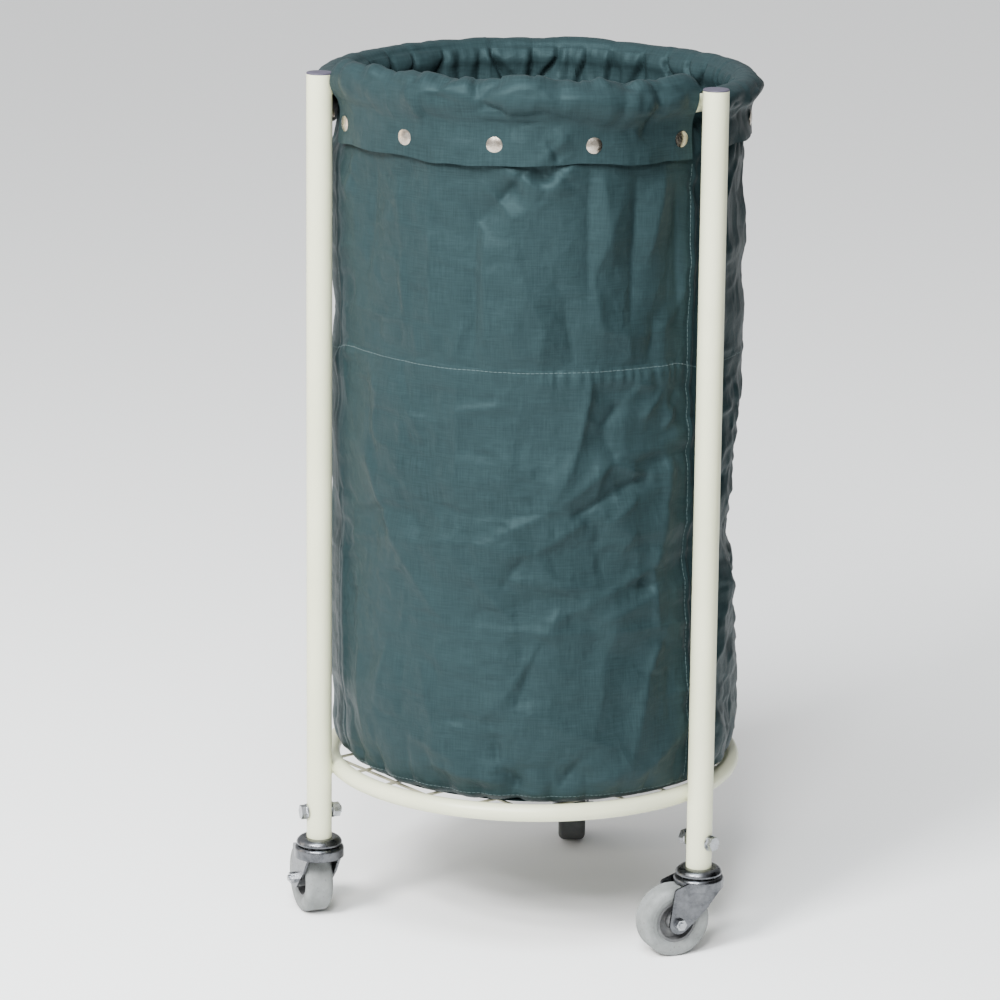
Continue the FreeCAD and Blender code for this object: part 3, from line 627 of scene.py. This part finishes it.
def inside_gathers(azimuth, z):
    """How far the gathered cloth inside the mouth bulges towards the axis, in mm."""
    at_rear = rear_share(azimuth)[None, :]
    low = 790 - 90 * at_rear
    rise = np.clip((z[:, None] - low) / (832 - low), 0, 1)
    fall = np.clip((872 - z) / 22, 0, 1)[:, None]
    shape = (len(z), len(azimuth))
    below = np.clip(860 - z, 0, None)
    drape = np.clip((850 - z) / 40, 0, 1)[:, None] * 15 * at_rear
    bulge = 8.0 + drape + noise_field(shape, 73, (6, 20)) * 4.0 - 10.0 * hollow_share(azimuth, below)
    slant = azimuth[None, :] + noise_field(shape, 76, (6, 16)) * 4
    folds = np.abs(np.sin(np.radians(slant * 21)))
    bulge += 3.0 * folds + (1 - 2 * np.abs(noise_field(shape, 74, (12, 90)))) * 1.5
    return np.clip(bulge, -1.0, None) * rise * rise * (3 - 2 * rise) * fall * (2 - fall)


def clear_of_hoop(r, z, gap):
    """Moves points of the cloth out of the top hoop's tube."""
    dr, dz = r - HOOP_R, z - TOP_HOOP_Z
    away = np.maximum(np.hypot(dr, dz), 1e-6)
    over = away - HOOP_TUBE_R - gap
    push = 1 + (np.sqrt(over ** 2 + (1.2 * MM) ** 2) - over) / 2 / away
    return HOOP_R + dr * push, TOP_HOOP_Z + dz * push


def between_rows(points, row, share):
    """A row of points on the smooth curve between a row and the next one."""
    a, b, c, d = points[row - 1: row + 3]
    square = (2 * a - 5 * b + 4 * c - d) * share ** 2
    cube = (3 * b - a - 3 * c + d) * share ** 3
    return (2 * b + (c - a) * share + square + cube) / 2


def rows_beside(points, along, row):
    """Adds a row close to each side of one, so that pieces which part there meet with the same slope."""
    before = between_rows(points, row - 1, 1 - MOUTH_NEAR)
    after = between_rows(points, row, MOUTH_NEAR)
    step_before, step_after = along[row] - along[row - 1], along[row + 1] - along[row]
    beside = [along[row] - MOUTH_NEAR * step_before, along[row] + MOUTH_NEAR * step_after]
    places = [row, row + 1]
    return np.insert(points, places, [before, after], axis=0), np.insert(along, places, beside)


def placed_cuff_lift(azimuth, q, drop):
    """The cuff's gathers with its placed folds added, in mm. drop is the way down from the mouth."""
    lift = cuff_lift(azimuth, q)
    for start, end, height, left, right in CUFF_FOLDS:
        add_fold(lift, azimuth, drop, (start[0], start[1] * drop[-1]), (end[0], end[1] * drop[-1]),
                 height * CUFF_FOLD_LIFT, left, right)
    return lift


def calmed_cuff_lift(lift, azimuth, share, q, height):
    """The cuff's lift, eased by the posts, over the side crowns, at the mouth and at the press studs."""
    calm = np.clip((from_nearest_post(azimuth) - 3) / 8, 0.35, 1.0)[None, :]
    calm = calm * (1 - 0.7 * (1 - share) * np.exp(-((q[:, None] - 0.2) / 0.2) ** 4))
    lift = CUFF_ROOM * np.tanh(lift / CUFF_ROOM) * calm
    start_up = np.clip(q / 0.08, 0, 1)[:, None]
    lift *= start_up * start_up * (3 - 2 * start_up)
    pinned = near_snaps(azimuth, 2.6)[None, :] * np.exp(-((height - SNAP_Z / MM) / 9) ** 2)
    return lift * (1 - np.where(q[:, None] > 0.5, pinned, 0))


def crown_rise(azimuth, back, share, q):
    """How far the cuff's crown rises and dips along the hoop, in mm, with a rise over the rear post."""
    crown = noise_field((2, COLUMNS), 83, (1, 18))[0][back] * (1.2 + 2.8 * share[0])
    crown = crown + 3.0 * np.exp(-(apart(azimuth, POST_AZIMUTHS["rear"]) / 10) ** 2)
    return crown[None, :] * np.exp(-((q[:, None] - 0.2) / 0.16) ** 2)


def hem_rise(azimuth, back, q):
    """How unevenly the cuff's hem hangs, in mm, with a lift where the front one is caught up."""
    rise = noise_field((2, COLUMNS), 81, (1, 24))[0] * 3.0 + noise_field((2, COLUMNS), 82, (1, 60))[0] * 1.0
    rise = rise[back] + 4.0 * np.exp(-(apart(azimuth, 291) / 9) ** 2) - 1.5 * front_share(azimuth)
    return rise[None, :] * np.clip((q - 0.80) / 0.20, 0, 1)[:, None] ** 2


def cloth_points():
    """The bag's grid of points, its columns' azimuths, its lengths, and the mouth's and seam's rows."""
    front, side = cloth_profile(FRONT_MOUTH, FRONT_CUFF), cloth_profile(SIDE_MOUTH, SIDE_CUFF)
    mouth = WALL_ROWS - 1
    seam = int(np.argmin(np.abs(front[:mouth, 1] - SEAM_Z)))
    azimuth = (90 + np.arange(COLUMNS) * 360 / COLUMNS) % 360
    order = np.argsort(azimuth)
    ordered = azimuth[order]
    back = np.argsort(order)
    share = front_share(azimuth)[None, :]
    r = front[:, :1] * share + side[:, :1] * (1 - share)
    z = front[:, 1:] * share + side[:, 1:] * (1 - share)
    wall_z = front[: mouth + 1, 1] / MM
    outward = wall_outward(ordered, wall_z)[:, back]
    inward = inside_gathers(ordered, wall_z)[:, back]
    tangent_r, tangent_z = np.gradient(r, axis=0), np.gradient(z, axis=0)
    size = np.hypot(tangent_r, tangent_z)
    normal_r, normal_z = -tangent_z / size, tangent_r / size
    q = np.linspace(0, 1, CUFF_ROWS)
    drop = np.concatenate([[0], np.cumsum(size[mouth: -1, 0])]) / MM
    standoff = placed_cuff_lift(ordered, q, drop)[:, back]
    standoff = calmed_cuff_lift(standoff, azimuth, share, q, z[mouth:] / MM)
    r[: mouth + 1] += (outward - inward) * MM
    r[mouth:] += normal_r[mouth:] * standoff * MM
    z[mouth:] += normal_z[mouth:] * standoff * MM
    z[mouth:] += (crown_rise(azimuth, back, share, q) + hem_rise(azimuth, back, q)) * MM
    r, z = clear_of_hoop(r, z, 0.4 * MM)
    theta = np.radians(azimuth)[None, :]
    lean = LEAN * np.clip((SEAM_Z - z) / (SEAM_Z - BAG_FOOT), 0, 1)
    points = np.stack([AXIS.x + lean + r * np.cos(theta), AXIS.y + r * np.sin(theta), z], axis=2)
    along = np.concatenate([[0], np.cumsum(np.linalg.norm(np.diff(front, axis=0), axis=1))])
    points, along = rows_beside(points, along, mouth)
    return points, azimuth, along, mouth + 1, seam


def mesh_object(name, points, faces, material, uvs=None, smooth=True):
    """A mesh from points and faces. uvs are one to a point."""
    mesh = bpy.data.meshes.new(name)
    mesh.from_pydata([tuple(p) for p in points], [], [tuple(f) for f in faces])
    mesh.materials.append(material)
    if uvs is not None:
        layer = mesh.uv_layers.new(name="UVMap")
        corners = np.zeros(len(mesh.loops), np.int32)
        mesh.loops.foreach_get("vertex_index", corners)
        layer.data.foreach_set("uv", np.asarray(uvs, np.float32)[corners].ravel())
    mesh.polygons.foreach_set("use_smooth", [smooth] * len(mesh.polygons))
    mesh.update()
    made = bpy.data.objects.new(name, mesh)
    bpy.context.scene.collection.objects.link(made)
    return made


def grid_piece(name, points, along, columns, rows, material, keep=None):
    """A piece of the bag's grid as its own sheet, thickened away from the hoop. keep masks its faces."""
    part = points[rows[0]: rows[-1] + 1][:, columns]
    high, wide = part.shape[:2]
    index = np.arange(high * wide).reshape(high, wide)
    faces = np.stack([index[:-1, :-1], index[:-1, 1:], index[1:, 1:], index[1:, :-1]], axis=2)
    faces = faces.reshape(-1, 4) if keep is None else faces[keep]
    u = np.arange(wide) * 2 * math.pi * CUT_R / COLUMNS
    uvs = np.stack(np.meshgrid(u, along[rows[0]: rows[-1] + 1]), axis=2).reshape(-1, 2)
    used, faces = np.unique(faces, return_inverse=True)
    made = mesh_object(name, part.reshape(-1, 3)[used], faces.reshape(-1, 4), material, uvs[used])
    sharpen_rim(made.data)
    thick = made.modifiers.new("thickness", "SOLIDIFY")
    thick.thickness = CLOTH_T
    thick.offset = -1
    thick.use_even_offset = False
    return made


def sharpen_rim(mesh):
    """Marks the open edges sharp, so the cut edge of the cloth doesn't shade its face."""
    uses = np.zeros(len(mesh.edges), int)
    edge_of = np.zeros(len(mesh.loops), np.int32)
    mesh.loops.foreach_get("edge_index", edge_of)
    np.add.at(uses, edge_of, 1)
    sharp = mesh.attributes.new("sharp_edge", "BOOLEAN", "EDGE")
    sharp.data.foreach_set("value", uses == 1)


PAST_CROWN_R = 209 * MM   # the cloth has come over the hoop beyond this radius


def build_bag(cloth):
    """Every cloth piece but the bottom: three upper gores, three lower gores and three cuffs."""
    points, azimuth, along, mouth, seam = cloth_points()
    third = COLUMNS // 3
    for k, (bay, middle) in enumerate(BAYS.items()):
        columns = np.arange(k * third, (k + 1) * third + 1) % COLUMNS
        lower = grid_piece("bag_lower_" + bay + "_cloth", points, along, columns, range(0, seam + 1), cloth)
        upper = grid_piece("bag_upper_" + bay + "_cloth", points, along, columns,
                           range(seam, mouth + 1), cloth)
        in_flap = np.abs(apart(azimuth[columns], middle)) <= CUFF_HALF
        outer = np.hypot(points[mouth:, columns, 0] - AXIS.x, points[mouth:, columns, 1] - AXIS.y)
        past_crown = np.maximum.accumulate(outer, axis=0) > PAST_CROWN_R
        by_rear = np.abs(apart(azimuth[columns], POST_AZIMUTHS["rear"])) < 5
        shown = in_flap[None, :] | (by_rear[None, :] & ~past_crown)
        keep = shown[:-1, :-1] & shown[:-1, 1:] & shown[1:, 1:] & shown[1:, :-1]
        cuff = grid_piece("bag_cuff_" + bay + "_cloth", points, along, columns,
                          range(mouth, len(along)), cloth, keep)
        for piece, node in ((lower, "bag_lower_"), (upper, "bag_upper_"), (cuff, "bag_flap_")):
            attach(piece, "root")
            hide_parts(node + bay)
    return points, azimuth, mouth, seam


def build_bottom(cloth):
    """The round bottom panel, dimpled where it sags between the wires."""
    low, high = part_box("bag_bottom_panel")
    middle = Vector(((low.x + high.x) / 2, (low.y + high.y) / 2, 0))
    radius = (high.x - low.x) / 2
    rings, spokes = 60, 180
    rng = np.random.default_rng(5)
    t = np.arange(spokes) * 2 * math.pi / spokes
    points, uvs = [(middle.x, middle.y, low.z + 1.2 * MM)], [(0, 0)]
    tilt = rng.uniform(0, 6.28, 8)
    for i in range(1, rings + 1):
        r = radius * i / rings
        for a in t:
            x, y = r * math.cos(a), r * math.sin(a)
            rumple = sum(math.sin((x * math.cos(k) + y * math.sin(k)) * 70 + k * 3) for k in tilt) / 8
            points.append((middle.x + x, middle.y + y, low.z + (0.75 + 0.55 * rumple) * MM + CLOTH_T / 2))
            uvs.append((x, y))
    faces = [(0, 1 + k, 1 + (k + 1) % spokes) for k in range(spokes)]
    for i in range(rings - 1):
        a, b = 1 + i * spokes, 1 + (i + 1) * spokes
        faces += [(a + k, b + k, b + (k + 1) % spokes, a + (k + 1) % spokes) for k in range(spokes)]
    made = mesh_object("bag_bottom_cloth", points, faces, cloth, uvs)
    thick = made.modifiers.new("thickness", "SOLIDIFY")
    thick.thickness = CLOTH_T
    thick.offset = 0
    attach(made, "root")
    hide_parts("bag_bottom_panel")


def stitch_row(name, line, outward, material, length=3.4 * MM, gap=1.1 * MM, radius=0.24 * MM):
    """A row of lock stitches along a line on the cloth: short bent threads that dip at both ends."""
    line, outward = np.asarray(line), np.asarray(outward)
    step = np.linalg.norm(np.diff(line, axis=0), axis=1)
    along = np.concatenate([[0], np.cumsum(step)])
    count = int(along[-1] / (length + gap))
    sides, sections = 5, ((0.0, -0.5), (0.22, 0.55), (0.78, 0.55), (1.0, -0.5))
    points, faces = [], []
    for k in range(count):
        first = len(points)
        for share, rise in sections:
            at = (k + 0.1) * (length + gap) + share * length
            centre = np.array([np.interp(at, along, line[:, c]) for c in range(3)])
            up = np.array([np.interp(at, along, outward[:, c]) for c in range(3)])
            ahead = np.array([np.interp(at + 0.4 * MM, along, line[:, c]) for c in range(3)]) - centre
            up /= np.linalg.norm(up)
            across = np.cross(up, ahead)
            across /= max(np.linalg.norm(across), 1e-9)
            centre = centre + up * rise * radius
            for s in range(sides):
                a = 2 * math.pi * s / sides
                points.append(centre + radius * (across * math.cos(a) + up * math.sin(a)))
        for i in range(len(sections) - 1):
            for s in range(sides):
                a, b = first + i * sides, first + (i + 1) * sides
                faces.append((a + s, a + (s + 1) % sides, b + (s + 1) % sides, b + s))
        faces.append(tuple(first + s for s in reversed(range(sides))))
        last = first + (len(sections) - 1) * sides
        faces.append(tuple(last + s for s in range(sides)))
    made = mesh_object(name, points, faces, material)
    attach(made, "root")
    return made


def sew(points, azimuth, mouth, seam, material):
    """Stitching on the girth seam, the foot seam, the hems of the cuffs and the gore seams."""
    radial = np.stack([np.cos(np.radians(azimuth)), np.sin(np.radians(azimuth)), 0 * azimuth], axis=1)
    ring = np.arange(COLUMNS + 1) % COLUMNS
    stitch_row("girth_stitches", points[seam - 1][ring], radial[ring], material)
    stitch_row("foot_stitches", points[6][ring], radial[ring], material)
    for bay, middle in BAYS.items():
        columns = np.nonzero(np.abs(apart(azimuth, middle)) < CUFF_HALF - 1)[0]
        columns = columns[np.argsort(apart(azimuth[columns], middle))]
        for part, rows_up in (("low", 2), ("high", 5)):
            row = points.shape[0] - 1 - rows_up
            stitch_row("cuff_" + bay + "_hem_stitches_" + part, points[row][columns], radial[columns],
                       material, radius=0.26 * MM)
    for post, a in POST_AZIMUTHS.items():
        column = int(round((a - 2.0 - 90) / 360 * COLUMNS)) % COLUMNS
        rows = np.arange(8, int(mouth * 0.9))
        stitch_row(post + "_gore_stitches", points[rows, column],
                   np.repeat(radial[column][None], len(rows), axis=0), material)


# ---- welds ---------------------------------------------------------------------------------
def weld_fillet(name, azimuth, hoop_z, material, gap=3.6 * MM):
    """The coated weld between a hoop and a post: a concave band round their line of contact."""
    direction = Vector((math.cos(math.radians(azimuth)), math.sin(math.radians(azimuth)), 0))
    side = Vector((-direction.y, direction.x, 0))

    def surfaces(t, z):
        hoop = math.sqrt(max(0, (HOOP_R + math.sqrt(max(0, HOOP_TUBE_R ** 2 - z * z))) ** 2 - t * t))
        post = POST_R - math.sqrt(max(0, POST_TUBE_R ** 2 - t * t))
        return hoop, post

    rng = np.random.default_rng(int(azimuth + hoop_z * 1000))
    around, across = 48, 7
    points, faces = [], []
    for k in range(around):
        a = 2 * math.pi * k / around
        reach = 0.5 * MM
        limit = gap * (1 + 0.12 * rng.uniform(-1, 1))
        while True:
            hoop, post = surfaces(reach * math.cos(a), reach * math.sin(a))
            if post - hoop > limit or reach > 7.6 * MM:
                break
            reach += 0.1 * MM
        for i in range(across):
            share = i / (across - 1)
            pull = 1 - 0.34 * math.sin(math.pi * share)
            t, z = reach * math.cos(a) * pull, reach * math.sin(a) * pull
            hoop, post = surfaces(reach * math.cos(a), reach * math.sin(a))
            depth = hoop - 0.5 * MM + (post - hoop + 1.0 * MM) * share
            p = AXIS + direction * depth + side * t
            points.append((p.x, p.y, hoop_z + z))
    for k in range(around):
        a, b = k * across, (k + 1) % around * across
        faces += [(a + i, b + i, b + i + 1, a + i + 1) for i in range(across - 1)]
    faces.append(tuple(k * across for k in reversed(range(around))))
    faces.append(tuple(k * across + across - 1 for k in range(around)))
    made = mesh_object(name, points, faces, material)
    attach(made, "root")


def dress_node(name, material):
    node = frame["nodes"][name]
    node.data.materials.clear()
    node.data.materials.append(material)


def dress_frame(materials):
    """Gives every shown CAD node the material of its slot."""
    slots = {row["node"]: row["material_slot"] for row in frame["record"]["subparts"]}
    for name in frame["nodes"]:
        dress_node(name, materials[slots[name]])


# ---- stage ---------------------------------------------------------------------------------
CAMERA_PLACE = (0.848, -4.186, 1.509)     # from the point under the hoops' axis
CAMERA_YAW, CAMERA_PITCH, CAMERA_ROLL = 11.91, 14.29, 0.61
CAMERA_LENS = 157.7
FLAG_X, FLAG_Y, FLAG_Z = 0.95, (-0.75, 0.70), (0.05, 1.35)      # the dark card to the right
# name, place from the hoops' axis, (width, height), watts, colour
LIGHTS = [
    ("key", (-1.2, -2.6, 2.7), (1.0, 0.9), 250, (1, 1, 1)),
    ("front", (0.3, -3.2, 2.6), (0.7, 0.7), 130, (1, 1, 1)),
    ("sky", (-0.1, -1.5, 3.1), (1.3, 1.0), 100, (0.86, 0.95, 1.0)),
    ("warm_side", (-3.0, -0.4, 0.8), (0.8, 2.0), 24, (1.0, 0.86, 0.70)),
]


def camera():
    """A long lens from a little to the right of the front, looking slightly down."""
    yaw, pitch, roll = (math.radians(a) for a in (CAMERA_YAW, CAMERA_PITCH, CAMERA_ROLL))
    right = Vector((math.cos(yaw), math.sin(yaw), 0))
    ahead = Vector((-math.sin(yaw) * math.cos(pitch), math.cos(yaw) * math.cos(pitch), -math.sin(pitch)))
    up = right.cross(ahead)
    turned_right = right * math.cos(roll) + up * math.sin(roll)
    turned_up = up * math.cos(roll) - right * math.sin(roll)
    data = bpy.data.cameras.new("camera")
    data.lens = CAMERA_LENS
    data.sensor_width = 36
    made = bpy.data.objects.new("camera", data)
    made.matrix_world = Matrix((turned_right, turned_up, -ahead)).transposed().to_4x4()
    made.matrix_world.translation = AXIS + Vector(CAMERA_PLACE)
    bpy.context.scene.collection.objects.link(made)
    bpy.context.scene.camera = made


def soft_light(name, place, size, energy, colour):
    """An area light that faces the middle of the trolley."""
    data = bpy.data.lights.new(name, "AREA")
    data.shape = "RECTANGLE"
    data.size, data.size_y = size
    data.energy = energy
    data.color = colour
    made = bpy.data.objects.new(name, data)
    made.location = AXIS + Vector(place)
    made.rotation_euler = (Vector((0, 0, 0.45)) - Vector(place)).to_track_quat("-Z", "Y").to_euler()
    bpy.context.scene.collection.objects.link(made)


def stage():
    """A pale floor, bright surroundings, a dark card to the right and four soft lights."""
    floor_shader = Shader("floor", Roughness=0.85, Specular_IOR_Level=0.2)
    floor_shader.principled.inputs["Base Color"].default_value = (0.95, 0.95, 0.945, 1)
    floor = mesh_object("floor", [(-30, -30, 0), (30, -30, 0), (30, 30, 0), (-30, 30, 0)],
                        [(0, 1, 2, 3)], floor_shader.material)
    flag_shader = Shader("flag", Roughness=1.0, Specular_IOR_Level=0.0)
    flag_shader.principled.inputs["Base Color"].default_value = (0.01, 0.01, 0.01, 1)
    near, far = FLAG_Y
    low, high = FLAG_Z
    corners = [(FLAG_X, near, low), (FLAG_X, far, low), (FLAG_X, far, high), (FLAG_X, near, high)]
    flag = mesh_object("flag", corners, [(0, 1, 2, 3)], flag_shader.material)
    flag.visible_camera = False
    world = bpy.data.worlds.new("studio")
    world.use_nodes = True
    tree = world.node_tree
    toward = tree.nodes.new("ShaderNodeTexCoord")
    facing = tree.nodes.new("ShaderNodeVectorMath")
    facing.operation = "DOT_PRODUCT"
    facing.inputs[1].default_value = (-0.54, -0.60, 0.59)
    spread = tree.nodes.new("ShaderNodeMapRange")
    for socket, number in (("From Min", -1.0), ("From Max", 1.0), ("To Min", 0.16), ("To Max", 1.4)):
        spread.inputs[socket].default_value = number
    tree.links.new(toward.outputs["Generated"], facing.inputs[0])
    tree.links.new(facing.outputs["Value"], spread.inputs["Value"])
    tree.links.new(spread.outputs["Result"], tree.nodes["Background"].inputs["Strength"])
    tree.nodes["Background"].inputs["Color"].default_value = (0.97, 0.985, 1, 1)
    bpy.context.scene.world = world
    for name, place, size, energy, colour in LIGHTS:
        soft_light(name, place, size, energy, colour)


def main():
    materials = {
        "powder_coat": powder_coat("powder_coat", (0.58, 0.59, 0.415), (0.535, 0.548, 0.375)),
        "cap_plastic": cap_plastic(),
        "pressed_zinc": plated_metal("pressed_zinc", (0.055, 0.057, 0.062), (0.15, 0.154, 0.165), 0.2, 0.38),
        "zinc_plate": plated_metal("zinc_plate", (0.20, 0.21, 0.22), (0.42, 0.43, 0.45), 0.2, 0.36),
        "bearing_steel": plated_metal("bearing_steel", (0.5, 0.5, 0.5), (0.7, 0.7, 0.7), 0.12, 0.22),
        "hub_plastic": hub_plastic(),
        "grey_tyre": tyre_rubber("grey_tyre", 1.0),
        "bag_cloth": bag_cloth("bag_cloth"),
        "nickel_snap": plated_metal("nickel_snap", (0.24, 0.20, 0.16), (0.46, 0.42, 0.36), 0.18, 0.34, 200),
    }
    dress_frame(materials)
    # The base mesh's wires are cream like the rest of the frame; this darker, browner copy of the powder
    # coat is painted shade, for the shade they sit in under the bag.
    dress_node("base_mesh", powder_coat("wire_coat_painted_shade", (0.30, 0.29, 0.20), (0.20, 0.19, 0.14)))
    # The rear tyre gets a darker copy of the grey rubber: painted shade for the shadow it stands in under
    # the bag, not dirt.
    dress_node("rear_tyre", tyre_rubber("tyre_painted_shade", 0.35))
    points, azimuth, mouth, seam = build_bag(materials["bag_cloth"])
    build_bottom(materials["bag_cloth"])
    sew(points, azimuth, mouth, seam, thread())
    for post, azimuth_post in POST_AZIMUTHS.items():
        for level, z in (("top", TOP_HOOP_Z), ("base", BASE_HOOP_Z)):
            weld_fillet(post + "_" + level + "_weld", azimuth_post, z, materials["powder_coat"])
    camera()
    stage()


main()
bpy.context.view_layer.update()
